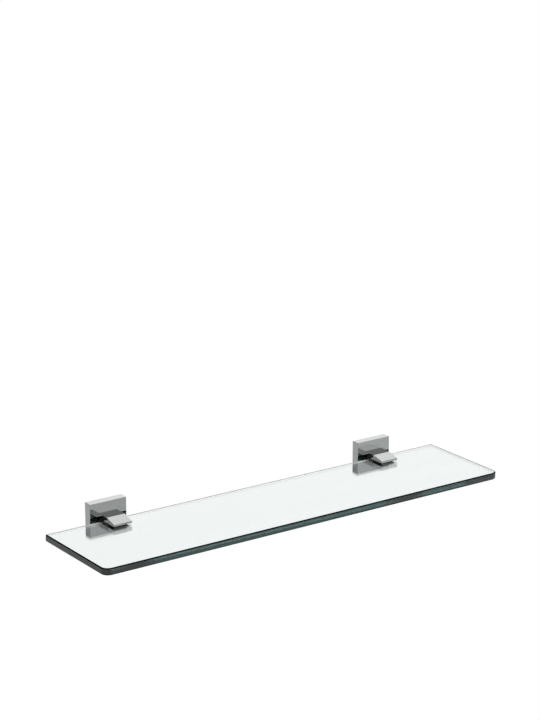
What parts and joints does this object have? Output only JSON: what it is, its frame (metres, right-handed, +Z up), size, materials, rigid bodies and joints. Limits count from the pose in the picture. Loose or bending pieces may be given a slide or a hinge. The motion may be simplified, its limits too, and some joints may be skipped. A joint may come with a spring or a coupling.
{
  "type": "wall shelf with brackets",
  "caption": "Clear glass wall shelf clamped at its rear edge by square chrome brackets, each a hollow cover plate over a wall plate with a slotted, bevelled clamp arm.",
  "frame": {"origin": "on the wall plane, midway between the brackets, at the middle of the glass's thickness", "axes": "+X to the right along the wall, +Y into the wall, +Z up; the shelf stands out towards -Y"},
  "size_m": [0.52, 0.138, 0.0454],
  "materials": {
    "clear_glass": "clear, polished edges",
    "chrome": "polished chrome plate",
    "zinc_steel": "zinc plated",
    "screw_steel": "plain stainless",
    "black_rubber": "matte",
    "nylon": "natural nylon"
  },
  "bodies": {
    "brackets": {"left_cover_plate": "chrome", "left_clamp_arm": "chrome", "left_arm_screws": "zinc_steel", "left_wall_plate": "zinc_steel", "left_set_screw": "screw_steel", "left_upper_lining": "black_rubber", "left_lower_lining": "black_rubber", "left_rear_bumper": "black_rubber", "right_cover_plate": "chrome", "right_clamp_arm": "chrome", "right_arm_screws": "zinc_steel", "right_wall_plate": "zinc_steel", "right_set_screw": "screw_steel", "right_upper_lining": "black_rubber", "right_lower_lining": "black_rubber", "right_rear_bumper": "black_rubber"},
    "glass": {"glass_shelf": "clear_glass"},
    "left_disc": {"left_pressure_disc": "nylon"},
    "left_screw": {"left_clamp_screw": "screw_steel"},
    "right_disc": {"right_pressure_disc": "nylon"},
    "right_screw": {"right_clamp_screw": "screw_steel"}
  },
  "joints": [
    {"name": "glass_slide", "type": "slide", "parent": "brackets", "child": "glass", "axis": [0, -1, 0], "range_m": [0, 0.024]},
    {"name": "left_disc_drop", "type": "slide", "parent": "brackets", "child": "left_disc", "axis": [0, 0, -1], "range_m": [0, 0.0012]},
    {"name": "left_screw_turn", "type": "hinge", "parent": "left_disc", "child": "left_screw", "pos_m": [-0.179, -0.028, -0.006], "axis": [0, 0, -1], "range_deg": [0, 540]},
    {"name": "right_disc_drop", "type": "slide", "parent": "brackets", "child": "right_disc", "axis": [0, 0, -1], "range_m": [0, 0.0012]},
    {"name": "right_screw_turn", "type": "hinge", "parent": "right_disc", "child": "right_screw", "pos_m": [0.179, -0.028, -0.006], "axis": [0, 0, -1], "range_deg": [0, 540]}
  ],
  "couplings": [
    {"joint": "left_screw_turn", "follows": "left_disc_drop", "rad_per_m": 7854},
    {"joint": "right_screw_turn", "follows": "right_disc_drop", "rad_per_m": 7854}
  ]
}
